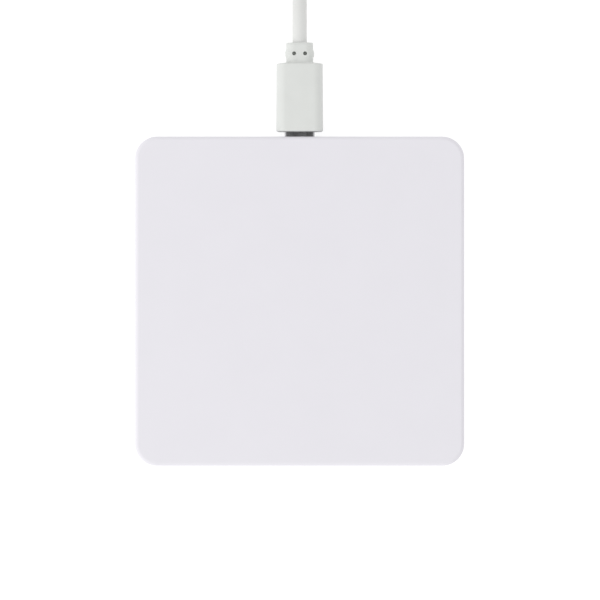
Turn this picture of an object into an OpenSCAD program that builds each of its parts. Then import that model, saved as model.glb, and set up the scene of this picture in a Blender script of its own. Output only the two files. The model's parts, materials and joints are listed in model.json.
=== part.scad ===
// A square wireless charging pad with a micro-USB socket in its edge, and the cable that
// plugs into it. Sizes are in millimetres. The pad stands on its feet on the plane z = 0,
// the origin lies under the middle of the pad, and the socket faces +Y.

/* [Pad] */
// Length of each side of the pad
pad_side = 75; // [74:0.5:80]
// Radius of the pad's four corners, seen from above
corner_r = 5; // [4.5:0.5:7]
// Height of the top face above the table
pad_height = 8.8; // [8.8:0.1:9.6]
// Rounding of the top edge
top_round = 0.9; // [0.6:0.1:1.2]
// Rounding of the bottom edge
bottom_round = 0.6; // [0.4:0.1:0.8]
// Thickness of the side walls
wall = 1.6; // [1.5:0.1:1.8]
// Thickness of the top face
roof = 1.5; // [1.3:0.1:1.5]
// Thickness of the bottom face
floor_t = 1.4; // [1.3:0.1:1.4]
// Height of the line where the two covers meet
seam_z = 4.6; // [4.4:0.1:4.7]
// Width of the groove along that line
seam_gap = 0.3; // [0.2:0.1:0.4]

/* [Feet and screws] */
// Diameter of each rubber foot
foot_d = 8; // [7:0.5:9]
// How far the feet stand out below the bottom cover
foot_drop = 0.8; // [0.6:0.1:0.8]
// Distance of the feet and screws from the pad's centre lines
foot_offset = 28; // [27.5:0.5:29]
// Thread diameter of the case screws
screw_d = 2; // [2:0.1:2.2]

/* [Charging coil] */
// Outside diameter of the flat coil
coil_outer_d = 44; // [42:1:46]
// Number of turns in the flat coil
coil_turns = 10; // [8:1:10]
// Diameter of the coil's litz wire
litz_d = 1.15; // [1.1:0.05:1.2]
// Diameter of the ferrite sheet
ferrite_d = 50; // [48:1:50]

/* [Plug and cable] */
// Width of the micro-USB plug's metal shell
micro_w = 6.85; // [6.8:0.05:6.9]
// Height of the micro-USB plug's metal shell
micro_h = 1.8; // [1.8:0.05:1.85]
// Length of metal shell that shows between the pad and the plug's grip
shell_shown = 1.2; // [0.8:0.1:2]
// Width of the plug's moulded grip
grip_w = 10.7; // [10:0.1:11]
// Length of the plug's moulded grip
grip_l = 15.8; // [15:0.1:17]
// Height of the plug's moulded grip
grip_h = 7; // [6.6:0.1:7.2]
// Diameter of the cord
cord_d = 3.3; // [3.2:0.1:3.4]

/* [Hidden] */
$fn = 48;
eps = 0.2; // overlap that joins two shapes cleanly
through = 1; // how far a cut runs past what it opens

// Heights and edges of the case
pad_half = pad_side / 2;
corner_at = pad_half - corner_r;
inner_at = corner_r - wall;
floor_top = foot_drop + floor_t;
roof_z = pad_height - roof;
lip_t = 0.7;
lip_gap = 0.1;
lip_outer = inner_at + lip_t;
lip_top = seam_z + 1.2;
wall_inside = pad_half - wall;

// Feet and screws
foot_t = 1.5;
foot_round = 0.4;
recess_gap = 0.1;
boss_meet = 3.7;
lower_boss_d = 6;
upper_boss_d = 5;
head_d = 3.8;
head_t = 1.2;
head_z = foot_t + head_t;
screw_end = 6.4;
pilot_end = screw_end + 0.5;
pilot_d = screw_d - 0.3;
thread_pitch = 0.4;
thread_depth = 0.15;
drive_l = 2;
drive_w = 0.5;
drive_depth = 0.6;

// Circuit board
board_t = 0.8;
board_z = floor_top + 0.8;
board_top = board_z + board_t;
board_half = 23;
board_y0 = 2.6;
board_y1 = wall_inside - 0.5;
post_d = 3.6;
peg_d = 1.6;
peg_head_d = 2.8;
peg_head_t = 0.5;
peg_places = [[-20.5, 5.6], [20.5, 5.6], [-20.5, 32.4], [20.5, 32.4]];

// Components on the board, with their width, length and height
controller_at = [-7, 14];
controller_size = [6, 6, 0.85];
mosfet_y = 19;
mosfet_xs = [7, 13.5];
mosfet_size = [5, 5.6, 1];
tab_w = 0.7;
tab_out = 0.2;
tab_t = 0.25;
resonant_y = 10;
resonant_xs = [6.5 : 2.6 : 14.3];
resonant_size = [1.6, 3.2, 1.2];
filter_y = 28.5;
filter_xs = [-16, -12, 17];
filter_size = [2.5, 3.2, 1.2];
resistor_ys = [7, 21.5];
resistor_xs = [-18 : 2 : -8];
resistor_size = [0.8, 1.6, 0.45];
cap_step = 0.03;
cap_share = 0.18;

// Status lamp, and the clear pipe that brings its light to the back wall
lamp_x = 12;
lamp_y = 34.2;
lamp_size = [2, 1.2, 0.35];
lens_size = [1.3, 0.9, 0.4];
pipe_w = 2.4;
pipe_z0 = 6;
pipe_z1 = 7;
pipe_back = wall_inside - 2.4;
pipe_leg = 1.4;
pipe_foot = board_top + lamp_size[2] + lens_size[2] + 0.25;

// Stack under the roof
adhesive_t = 0.2;
coil_z1 = roof_z - adhesive_t;
coil_z0 = coil_z1 - litz_d;
ferrite_t = 0.8;
ferrite_z = coil_z0 - ferrite_t;
turn_pitch = litz_d + 0.02;
coil_inner_r = coil_outer_d / 2 - coil_turns * turn_pitch;
rib_gap = 0.4;
rib_t = 0.8;
rib_low = ferrite_z + 0.3;
rib_opening = 14;
lead_d = 0.8;
lead_x = 4;
lead_end_y = 28;
lead_bend = 1.2;
inner_bend = 1;
inner_lead_y = 8.9;
lead_slot_w = 1.2;
lead_slot_y = inner_lead_y - 0.7;
bead_d = 1.6;
bead_hole_d = 3;
bead_wire_d = 0.3;
bead_wire_x = 0.4;
bead_wire_y = 4;

// Micro-USB socket and plug
micro_cut = 0.7;
plug_t = 0.25;
plug_gap = 0.1;
socket_t = 0.25;
port_z = board_top + micro_h / 2 + plug_gap + socket_t;
port_margin = 0.3;
grip_y0 = pad_half + shell_shown;
grip_y1 = grip_y0 + grip_l;
plug_tip = grip_y0 - 6.2;
plug_back = grip_y0 + 4;
socket_mouth = pad_half - 0.5;
socket_back = plug_tip - 1.1;
socket_wall = plug_tip - 0.3;
pin_pitch = 0.65;
pin_w = 0.3;
pin_t = 0.12;
pin_reach = plug_tip + 3.3;
pin_back = socket_back - 0.3;
pin_foot = 0.9;
tongue_w = 3.7;
tongue_z0 = 0.05;
tongue_z1 = 0.5;
tongue_tip = plug_tip + 3.7;
leg_x = micro_w / 2 + plug_gap + socket_t / 2;
leg_y = 33.4;
leg_l = 1.4;
leg_top = 0.4;
leg_gap = 0.1;

// Latch springs of the plug, and the windows that their hooks stand in
latch_x = 2.4;
latch_w = 0.8;
latch_z = 0.5;
latch_t = 0.12;
latch_start = plug_tip + 1.1;
hook_y = plug_tip + 1.5;
hook_slope = 0.8;
hook_flat = 0.4;
hook_foot = 0.6;
hook_top = 0.96;
window_w = 1;
window_y0 = plug_tip + 1.3;
window_y1 = plug_tip + 3.1;

// Insides of the plug; its contacts' heights are measured from the port's middle
plug_pin_y0 = plug_tip + 0.7;
plug_pin_y1 = plug_back + 1.8;
plug_pin_z0 = -0.25;
plug_pin_z1 = -0.06;
shelf_half_w = 2.2;
shelf_y0 = plug_tip + 0.4;
shelf_y1 = plug_tip + 4.5;
shelf_z1 = -0.15;
mould_w = 8;
mould_h = 4.4;
mould_wall = 0.6;
mould_rear = 4;

// Grip and strain relief of both plugs
grip_round = 2.2;
grip_corner = 0.6;
neck_w = 6.15;
neck_h = 5;
neck_l = 4.5;
neck_round = 1.9;
collar_grow = 0.45;
collar_at = 1;
collar_l = 2;
neck_hole_d = 0.9;
neck_hole_x = 1.25;
neck_hole_y = 2;
neck_hole_z = 0.95;
cord_exit = grip_y1 + neck_l;

// Coil of the cord beyond the plug
turn_gap = 0.1;
loop_pitch = cord_d + turn_gap;
loop_turns = 4;
loop_outer_r = 24;
loop_inner_r = loop_outer_r - loop_turns * loop_pitch;
loop_mid = (loop_outer_r + loop_inner_r) / 2;
loop_w = loop_outer_r - loop_inner_r + cord_d;
loop_centre = [-14, 98];
loop_exit_x = 10;
tie_t = 0.4;
tie_w = 4;

// USB-A plug on the far end, lying flat on the table
usb_w = 12;
usb_h = 4.5;
usb_t = 0.3;
usb_shown = 12;
usb_held = 6;
usb_grip_w = 15.6;
usb_grip_h = 8;
usb_grip_l = 24;
usb_z = usb_grip_h / 2;
usb_neck_y = 122;
usb_grip_y0 = usb_neck_y + neck_l;
usb_grip_y1 = usb_grip_y0 + usb_grip_l;
usb_tip = usb_grip_y1 + usb_shown;
usb_back = usb_grip_y1 - usb_held;
usb_window = 2.5;
usb_window_x = 3;
usb_window_y = usb_tip - 5.2;
usb_pin_xs = [-3.5, -1, 1, 3.5];
usb_pin_w = 1;
usb_pin_z0 = -0.15;
usb_pin_z1 = 0.1;
usb_pin_back = usb_back - 1.5;
usb_pin_tip = usb_tip - 1.4;
usb_tongue_tip = usb_tip - 0.4;
usb_mould_w = 13.6;
usb_mould_h = 5.8;

// The cord leaves the plug, sinks to the table and curves over to the lower layer of its
// coil, and the tail leaves from the upper layer
cord_low = cord_d / 2;
cord_high = 3 * cord_d / 2;
lead_route = [
    [0, cord_exit, port_z], [0, 61, port_z], [0, 63.5, 4.95], [0, 66, 4.6], [0, 68.5, 4.1],
    [0, 71, 3.45], [0.3, 73.5, 2.8], [0.9, 76, 2.3], [1.8, 78.5, cord_low + 0.3],
    [2.9, 81, cord_low + 0.1], [4.2, 83.5, cord_low + 0.02], [5.5, 86, cord_low],
    [6.7, 88.5, cord_low], [7.9, 91, cord_low], [8.8, 93.5, cord_low], [9.5, 96, cord_low],
    [loop_exit_x, 98.5, cord_low]
];
tail_route = [
    [loop_exit_x, 98, cord_high], [loop_exit_x, 101, cord_high], [loop_exit_x, 105, cord_high - 0.1],
    [loop_exit_x, 109, 4.6], [loop_exit_x, 113, 4.3], [loop_exit_x, 117, 4.05],
    [loop_exit_x, 120, usb_z], [loop_exit_x, usb_neck_y, usb_z]
];

white = "#e9e8ed";
grip_white = "#dfe1dd";
steel = "#8d9094";
gold = "#d8b25a";

// ---------------------------------------------------------------- shared shapes

module block(low, high) translate(low) cube(high - low);

// Draws its 2D children in X and Z, and extrudes them from y0 to y1
module along_y(y0, y1, x = 0, z = 0)
    translate([x, y1, z]) rotate([90, 0, 0]) linear_extrude(y1 - y0) children();

module rounded_rect(w, h, r) {
    square([w, h - 2 * r], center = true);
    square([w - 2 * r, h], center = true);
    for (x = [-1, 1], y = [-1, 1])
        translate([x * (w / 2 - r), y * (h / 2 - r)]) circle(r);
}

// What a rounding takes off an outside corner, seen from the rounding's centre
module corner_cut(r) difference() {
    square(r + 1);
    circle(r);
}

module at_corners() for (x = [-1, 1], y = [-1, 1])
    translate([x * foot_offset, y * foot_offset, 0]) children();

// Carries a profile, drawn outwards from the corner centres, once round the pad
module round_the_pad() for (quarter = [0:3]) rotate(90 * quarter) {
    translate([corner_at, corner_at, 0]) rotate_extrude(angle = 90) children();
    along_y(-corner_at, corner_at, corner_at) children();
}

// A micro-USB shell's outline, a rectangle without its lower corners, grown all round
module micro_outline(grow = 0) {
    w = micro_w / 2 + grow;
    h = micro_h / 2 + grow;
    cut = micro_cut + grow * (2 - sqrt(2));
    polygon([[-w, h], [w, h], [w, cut - h], [w - cut, -h], [cut - w, -h], [-w, cut - h]]);
}

function unit(v) = v / norm(v);
function heading(path, i) =
    unit(path[min(i + 1, len(path) - 1)] - path[max(i - 1, 0)]);
function ring(path, i, r, sides, across) =
    let (a = unit(cross(heading(path, i), across)), b = cross(heading(path, i), a))
    [for (k = [0:sides - 1]) path[i] + r * (cos(360 * k / sides) * a + sin(360 * k / sides) * b)];

// A round bar along a path; across is a direction that the path never takes
module bar(path, d, across, sides = 8) {
    last = len(path) - 1;
    polyhedron(
        points = [for (i = [0:last]) each ring(path, i, d / 2, sides, across)],
        faces = [
            [for (k = [0:sides - 1]) k],
            [for (k = [0:sides - 1]) last * sides + sides - 1 - k],
            for (i = [0:last - 1], k = [0:sides - 1])
                let (next = (k + 1) % sides)
                [i * sides + next, i * sides + k, (i + 1) * sides + k, (i + 1) * sides + next]
        ]
    );
}

// ---------------------------------------------------------------- case

module port_opening() along_y(wall_inside - through, pad_half + through, z = port_z)
    rounded_rect(
        micro_w + 2 * (plug_gap + socket_t + port_margin),
        micro_h + 2 * (plug_gap + socket_t + port_margin), 0.6);

module light_slot() block(
    [lamp_x - pipe_w / 2, wall_inside - through, pipe_z0],
    [lamp_x + pipe_w / 2, pad_half + through, pipe_z1]);

module top_profile() difference() {
    polygon([
        [0, roof_z], [inner_at, roof_z], [inner_at, lip_top], [lip_outer + lip_gap, lip_top],
        [lip_outer + lip_gap, seam_z + seam_gap], [corner_r, seam_z + seam_gap],
        [corner_r, pad_height], [0, pad_height]
    ]);
    translate([corner_r - top_round, pad_height - top_round]) corner_cut(top_round);
}

// Ring under the roof that centres the ferrite sheet, open where the coil's leads leave
module ferrite_rib() difference() {
    translate([0, 0, rib_low])
        cylinder(d = ferrite_d + 2 * (rib_gap + rib_t), h = roof_z - rib_low + eps);
    translate([0, 0, ferrite_z]) cylinder(d = ferrite_d + 2 * rib_gap, h = roof_z - ferrite_z);
    block([-rib_opening / 2, 0, ferrite_z], [rib_opening / 2, ferrite_d, roof_z]);
}

module top_cover() color(white) difference() {
    union() {
        round_the_pad() top_profile();
        block([-corner_at, -corner_at, roof_z], [corner_at, corner_at, pad_height]);
        at_corners() translate([0, 0, boss_meet])
            cylinder(d = upper_boss_d, h = roof_z - boss_meet + eps);
        ferrite_rib();
    }
    at_corners() translate([0, 0, boss_meet - eps])
        cylinder(d = pilot_d, h = pilot_end - boss_meet + eps);
    port_opening();
    light_slot();
}

module bottom_profile() difference() {
    polygon([
        [0, foot_drop], [corner_r, foot_drop], [corner_r, seam_z], [lip_outer, seam_z],
        [lip_outer, lip_top], [inner_at, lip_top], [inner_at, floor_top], [0, floor_top]
    ]);
    translate([corner_r - bottom_round, foot_drop + bottom_round])
        mirror([0, 1]) corner_cut(bottom_round);
}

// Post that the board rests on, with a peg through the board and a melted head
module board_post() {
    translate([0, 0, floor_top - eps]) cylinder(d = post_d, h = board_z - floor_top + eps);
    translate([0, 0, board_z - eps]) cylinder(d = peg_d, h = board_t + 2 * eps);
    translate([0, 0, board_top]) cylinder(d = peg_head_d, h = peg_head_t);
}

module bottom_cover() color(white) difference() {
    union() {
        round_the_pad() bottom_profile();
        block([-corner_at, -corner_at, foot_drop], [corner_at, corner_at, floor_top]);
        at_corners() translate([0, 0, floor_top - eps])
            cylinder(d = lower_boss_d, h = boss_meet - floor_top + eps);
        for (p = peg_places) translate(p) board_post();
    }
    at_corners() {
        translate([0, 0, foot_drop - through])
            cylinder(d = foot_d + 2 * recess_gap, h = foot_t - foot_drop + through);
        translate([0, 0, foot_t - eps]) cylinder(d = head_d + 0.2, h = head_t + eps);
        cylinder(d = screw_d + 0.3, h = boss_meet + through);
    }
    port_opening();
}

module rubber_feet() color("#d9d9d6") at_corners() rotate_extrude() difference() {
    square([foot_d / 2, foot_t]);
    translate([foot_d / 2 - foot_round, foot_round]) mirror([0, 1]) corner_cut(foot_round);
}

module cover_screw() difference() {
    union() {
        translate([0, 0, foot_t]) cylinder(d = head_d, h = head_t);
        rotate_extrude() polygon([
            [0, head_z - eps], [screw_d / 2, head_z - eps],
            for (z = [head_z + thread_pitch : thread_pitch : screw_end - 2 * thread_pitch])
                each [[screw_d / 2, z], [screw_d / 2 - thread_depth, z + thread_pitch / 2]],
            [screw_d / 2, screw_end - thread_pitch], [screw_d / 4, screw_end], [0, screw_end]
        ]);
    }
    for (turn = [0, 90]) rotate(turn)
        block([-drive_l / 2, -drive_w / 2, foot_t - through],
            [drive_l / 2, drive_w / 2, foot_t + drive_depth]);
}

module cover_screws() color(steel) at_corners() cover_screw();

// ---------------------------------------------------------------- coil stack

module coil_adhesive() color("#f2e9c8") translate([0, 0, coil_z1]) difference() {
    cylinder(d = coil_outer_d, h = adhesive_t);
    translate([0, 0, -through]) cylinder(r = coil_inner_r, h = adhesive_t + 2 * through);
}

// The turns lie side by side, so the ring is scalloped above and below
module charging_coil() color("#b06a3a") translate([0, 0, (coil_z0 + coil_z1) / 2])
    rotate_extrude() translate([coil_inner_r + turn_pitch / 2, 0]) {
        for (turn = [0 : coil_turns - 1]) translate([turn * turn_pitch, 0]) circle(d = litz_d);
        translate([0, -litz_d / 4]) square([(coil_turns - 1) * turn_pitch, litz_d / 2]);
    }

// Quarter bend in the YZ plane from going +Y to going down, its corner at [y, z]
function bend_down(x, y, z, r) =
    [for (a = [0 : 22.5 : 90]) [x, y - r + r * sin(a), z - r + r * cos(a)]];

// The outer end leaves over the board, and the inner end passes under the turns
module coil_leads() color("#b06a3a") {
    outer_z = (coil_z0 + coil_z1) / 2;
    inner_z = coil_z0 - lead_d / 2;
    bar([
        [lead_x, coil_outer_d / 2 - 0.5, outer_z],
        each bend_down(lead_x, lead_end_y, outer_z, lead_bend),
        [lead_x, lead_end_y, board_top]
    ], lead_d, [1, 0, 0]);
    bar([
        [-lead_x, inner_lead_y, coil_z1 - lead_d / 2],
        [-lead_x, inner_lead_y, inner_z + 0.5],
        [-lead_x, inner_lead_y + 0.2, inner_z + 0.1],
        [-lead_x, inner_lead_y + 0.7, inner_z],
        each bend_down(-lead_x, lead_end_y, inner_z, inner_bend),
        [-lead_x, lead_end_y, board_top]
    ], lead_d, [1, 0, 0]);
}

module ferrite_sheet() color("#3a3b3d") translate([0, 0, ferrite_z]) difference() {
    cylinder(d = ferrite_d, h = ferrite_t);
    translate([-lead_x, 0, 0])
        block([-lead_slot_w / 2, lead_slot_y, -through], [lead_slot_w / 2, ferrite_d, ferrite_t + through]);
    translate([0, 0, -through]) cylinder(d = bead_hole_d, h = ferrite_t + 2 * through);
}

// Bead in the middle of the coil, with two wires down to the board
module thermistor() color("#2d2a28") {
    bead_z = coil_z0 + 0.5;
    wire_z = ferrite_z - 0.65;
    translate([0, 0, bead_z]) sphere(d = bead_d);
    for (x = [-bead_wire_x, bead_wire_x]) bar([
        [x, 0, bead_z],
        [x, 0, wire_z + 0.4],
        [x, 0.1, wire_z + 0.15],
        [x, 0.4, wire_z],
        each bend_down(x, bead_wire_y, wire_z, 0.4),
        [x, bead_wire_y, board_top]
    ], bead_wire_d, [1, 0, 0]);
}

// ---------------------------------------------------------------- circuit board

module circuit_board() color("#1f6b45") difference() {
    translate([0, (board_y0 + board_y1) / 2, board_z]) linear_extrude(board_t)
        rounded_rect(2 * board_half, board_y1 - board_y0, 1);
    for (p = peg_places) translate([p[0], p[1], board_z - through])
        cylinder(d = peg_d + 0.2, h = board_t + 2 * through);
    for (side = [-1, 1]) translate([side * leg_x, leg_y, 0])
        block([-socket_t / 2 - leg_gap, -leg_gap, board_z - through],
            [socket_t / 2 + leg_gap, leg_l + leg_gap, board_top + through]);
}

// A block of a given size that stands on the board, or lift above it, with its middle at [x, y]
module chip(x, y, size, lift = 0)
    translate([x, y, board_top + lift + size[2] / 2]) cube(size, center = true);

// A ceramic body with metal caps on both ends, which stand out a little all round
module capped_chip(x, y, size) {
    chip(x, y, size - [2 * cap_step, 2 * cap_step, 2 * cap_step], cap_step);
    cap = size[1] * cap_share;
    for (side = [-1, 1]) chip(x, y + side * (size[1] - cap) / 2, [size[0], cap, size[2]]);
}

module controller_chip() color("#26272a") chip(controller_at[0], controller_at[1], controller_size);

// Moulded bodies with four flat tabs at each end
module bridge_mosfets() color("#26272a") for (x = mosfet_xs) {
    chip(x, mosfet_y, mosfet_size);
    for (tab = [-1.5 : 1.5])
        chip(x + tab * mosfet_size[0] / 4, mosfet_y, [tab_w, mosfet_size[1] + 2 * tab_out, tab_t]);
}

module resonant_capacitors() color("#b79a6c") for (x = resonant_xs)
    capped_chip(x, resonant_y, resonant_size);

module filter_capacitors() color("#b79a6c") for (x = filter_xs)
    capped_chip(x, filter_y, filter_size);

module chip_resistors() color("#202124") for (x = resistor_xs, y = resistor_ys)
    capped_chip(x, y, resistor_size);

// Lamp with a clear lens on its base
module status_led() color("#f4f1da") {
    chip(lamp_x, lamp_y, lamp_size);
    chip(lamp_x, lamp_y, lens_size + [0, 0, lamp_size[2]]);
}

// Clear bar up from the lamp and out through the wall, with a slanted face at its bend
module light_pipe() color("#e6eef2") translate([lamp_x - pipe_w / 2, 0, 0])
    rotate([90, 0, 90]) linear_extrude(pipe_w) polygon([
        [pipe_back, pipe_foot], [pipe_back + pipe_leg, pipe_foot], [pipe_back + pipe_leg, pipe_z0],
        [pad_half, pipe_z0], [pad_half, pipe_z1], [pipe_back + pipe_leg, pipe_z1],
        [pipe_back, pipe_z1 - pipe_leg]
    ]);

// ---------------------------------------------------------------- socket

module latch_windows(y0, y1) for (side = [-1, 1]) translate([side * latch_x, 0, port_z])
    block([-window_w / 2, y0, 0], [window_w / 2, y1, micro_h]);

module socket_shell() color(steel) {
    difference() {
        along_y(socket_back, socket_mouth, z = port_z) difference() {
            micro_outline(plug_gap + socket_t);
            micro_outline(plug_gap);
        }
        latch_windows(latch_start, window_y1);
    }
    for (side = [-1, 1]) translate([side * leg_x, leg_y, 0])
        block([-socket_t / 2, 0, board_z], [socket_t / 2, leg_l, port_z + leg_top]);
}

module pins(y0, y1, z0, z1) for (i = [-2:2])
    block([i * pin_pitch - pin_w / 2, y0, port_z + z0], [i * pin_pitch + pin_w / 2, y1, port_z + z1]);

// Each contact runs along the tongue, down behind the socket and back along the board
module socket_contacts() color(gold) {
    foot_z = board_top - port_z;
    pins(pin_back, pin_reach, 0, pin_t);
    pins(pin_back - pin_t, pin_back, foot_z, pin_t);
    pins(pin_back - pin_foot, pin_back, foot_z, foot_z + pin_t);
}

module socket_tongue() color("#202124") difference() {
    union() {
        along_y(socket_back, socket_wall, z = port_z) micro_outline(plug_gap);
        block([-tongue_w / 2, socket_wall - eps, port_z + tongue_z0],
            [tongue_w / 2, tongue_tip, port_z + tongue_z1]);
    }
    pins(socket_back - through, pin_reach, 0, pin_t);
}

// ---------------------------------------------------------------- micro-USB plug

module plug_shell() color(steel) difference() {
    along_y(plug_tip, plug_back, z = port_z) difference() {
        micro_outline();
        micro_outline(-plug_t);
    }
    latch_windows(window_y0, window_y1);
}

// Thin springs under the shell's roof, whose hooks stand in its windows. They are
// drawn pressed in, at the height where they pass under the socket's roof.
module latch_spring() {
    block([-latch_w / 2, latch_start, latch_z], [latch_w / 2, plug_back, latch_z + latch_t]);
    translate([-latch_w / 2, 0, 0]) rotate([90, 0, 90]) linear_extrude(latch_w) polygon([
        [hook_y, hook_foot], [hook_y + hook_slope + hook_flat, hook_foot],
        [hook_y + hook_slope + hook_flat, hook_top], [hook_y + hook_slope, hook_top]
    ]);
}

module plug_latches() color("#b9bcc0") for (side = [-1, 1])
    translate([side * latch_x, 0, port_z]) latch_spring();

module plug_contacts() color(gold) pins(plug_pin_y0, plug_pin_y1, plug_pin_z0, plug_pin_z1);

module plug_insulator() color("#17181a") difference() {
    union() {
        along_y(shelf_y1, plug_back, z = port_z) micro_outline(-plug_t);
        block([-shelf_half_w, shelf_y0, port_z - micro_h / 2 + plug_t],
            [shelf_half_w, shelf_y1 + eps, port_z + shelf_z1]);
    }
    pins(plug_pin_y0, plug_pin_y1, plug_pin_z0, plug_pin_z1);
    for (side = [-1, 1]) translate([side * latch_x, 0, port_z])
        block([-latch_w / 2, shelf_y1 - through, latch_z],
            [latch_w / 2, plug_back + through, latch_z + latch_t]);
}

module inner_mould_space() block(
    [-mould_w / 2, grip_y0 + mould_wall, port_z - mould_h / 2],
    [mould_w / 2, grip_y1 - mould_rear, port_z + mould_h / 2]);

module plug_inner_mould() color("#d8d8d0") difference() {
    inner_mould_space();
    along_y(grip_y0, plug_back, z = port_z) micro_outline();
    pins(plug_back - through, plug_pin_y1, plug_pin_z0, plug_pin_z1);
}

// Neck that the cord leaves through, with a low collar and two holes on each face
module neck(x, y, z, flip = 0) translate([x, y, z]) rotate([0, 0, flip]) difference() {
    union() {
        along_y(-eps, neck_l) rounded_rect(neck_w, neck_h, neck_round);
        along_y(collar_at, collar_at + collar_l)
            rounded_rect(neck_w + collar_grow, neck_h, neck_round);
    }
    for (side = [-1, 1], face = [0, 180]) rotate([0, face, 0])
        translate([side * neck_hole_x, neck_hole_y, neck_hole_z])
            cylinder(d = neck_hole_d, h = neck_h);
}

// Moulded grip with rounded long edges, whose corners are cut seen from above
module grip(x, y0, y1, z, w, h) intersection() {
    side = w / 2;
    c = grip_corner;
    along_y(y0, y1, x, z) rounded_rect(w, h, grip_round);
    translate([x, 0, 0]) linear_extrude(z + h) polygon([
        [c - side, y0], [side - c, y0], [side, y0 + c], [side, y1 - c],
        [side - c, y1], [c - side, y1], [-side, y1 - c], [-side, y0 + c]
    ]);
}

module plug_overmould() color(grip_white) difference() {
    union() {
        grip(0, grip_y0, grip_y1, port_z, grip_w, grip_h);
        neck(0, grip_y1, port_z);
    }
    inner_mould_space();
    along_y(grip_y0 - through, grip_y0 + through, z = port_z) micro_outline();
}

// ---------------------------------------------------------------- cord

module cord_lead() color(grip_white) bar(lead_route, cord_d, [0, 0, 1]);

module cord_tail() color(grip_white) bar(tail_route, cord_d, [0, 0, 1]);

module cord_coil() color(grip_white) difference() {
    translate([loop_centre[0], loop_centre[1], cord_d]) rotate_extrude()
        translate([loop_mid, 0]) rounded_rect(loop_w, 2 * cord_d, cord_d / 2);
    tie_band();
}

// Band round both layers of turns, on the side of the coil away from the leads
module tie_band() {
    middle = [loop_centre[0] - loop_mid, cord_d + tie_t / 2];
    along_y(loop_centre[1] - tie_w / 2, loop_centre[1] + tie_w / 2, middle[0], middle[1])
        difference() {
            square([loop_w + 2 * tie_t, 2 * cord_d + tie_t], center = true);
            square([loop_w, 2 * cord_d - tie_t], center = true);
        }
}

module cable_tie() color("#f3f3f3") tie_band();

// ---------------------------------------------------------------- USB-A plug

module usb_a_shell() color(steel) difference() {
    along_y(usb_back, usb_tip, loop_exit_x, usb_z) difference() {
        square([usb_w, usb_h], center = true);
        square([usb_w - 2 * usb_t, usb_h - 2 * usb_t], center = true);
    }
    for (side = [-1, 1]) translate([loop_exit_x + side * usb_window_x, usb_window_y, usb_z])
        cube([usb_window, usb_window, 2 * usb_h], center = true);
}

// Four contacts, the two in the middle 1 mm shorter
module usb_pins() for (x = usb_pin_xs) translate([loop_exit_x + x, 0, usb_z])
    block([-usb_pin_w / 2, usb_pin_back, usb_pin_z0],
        [usb_pin_w / 2, usb_pin_tip - (abs(x) < 2 ? 1 : 0), usb_pin_z1]);

module usb_a_contacts() color(gold) usb_pins();

module usb_a_insulator() color("#f1f1ef") difference() {
    translate([loop_exit_x, 0, usb_z]) {
        block([usb_t - usb_w / 2, usb_back, usb_t - usb_h / 2],
            [usb_w / 2 - usb_t, usb_tongue_tip, 0]);
        block([usb_t - usb_w / 2, usb_back, -eps],
            [usb_w / 2 - usb_t, usb_grip_y1, usb_h / 2 - usb_t]);
    }
    usb_pins();
}

module usb_mould_space() translate([loop_exit_x, 0, usb_z])
    block([-usb_mould_w / 2, usb_grip_y0 + mould_rear, -usb_mould_h / 2],
        [usb_mould_w / 2, usb_grip_y1 - mould_wall, usb_mould_h / 2]);

module usb_a_inner_mould() color("#d8d8d0") difference() {
    usb_mould_space();
    translate([loop_exit_x, 0, usb_z]) block([-usb_w / 2, usb_back, -usb_h / 2],
        [usb_w / 2, usb_tip, usb_h / 2]);
    usb_pins();
}

module usb_a_overmould() color(grip_white) difference() {
    union() {
        grip(loop_exit_x, usb_grip_y0, usb_grip_y1, usb_z, usb_grip_w, usb_grip_h);
        neck(loop_exit_x, usb_grip_y0, usb_z, 180);
    }
    usb_mould_space();
    translate([loop_exit_x, 0, usb_z]) block([-usb_w / 2, usb_grip_y1 - through, -usb_h / 2],
        [usb_w / 2, usb_tip, usb_h / 2]);
}

top_cover();
bottom_cover();
rubber_feet();
cover_screws();
coil_adhesive();
charging_coil();
coil_leads();
ferrite_sheet();
thermistor();
circuit_board();
controller_chip();
bridge_mosfets();
resonant_capacitors();
filter_capacitors();
chip_resistors();
status_led();
light_pipe();
socket_shell();
socket_tongue();
socket_contacts();
plug_shell();
plug_insulator();
plug_contacts();
plug_latches();
plug_inner_mould();
plug_overmould();
cord_lead();
cord_coil();
cord_tail();
cable_tie();
usb_a_shell();
usb_a_insulator();
usb_a_contacts();
usb_a_inner_mould();
usb_a_overmould();
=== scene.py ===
"""Looks of a square wireless charging pad and its plug-in USB cable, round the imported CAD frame.

Shapes are worked out in millimetres in the frame's own axes, and become metres where a mesh is
made. The camera and the cord come first, then the pieces that stand for CAD nodes, the
materials, and the studio.
"""

import json
import math

import bmesh
import bpy
from mathutils import Matrix, Vector


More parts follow.
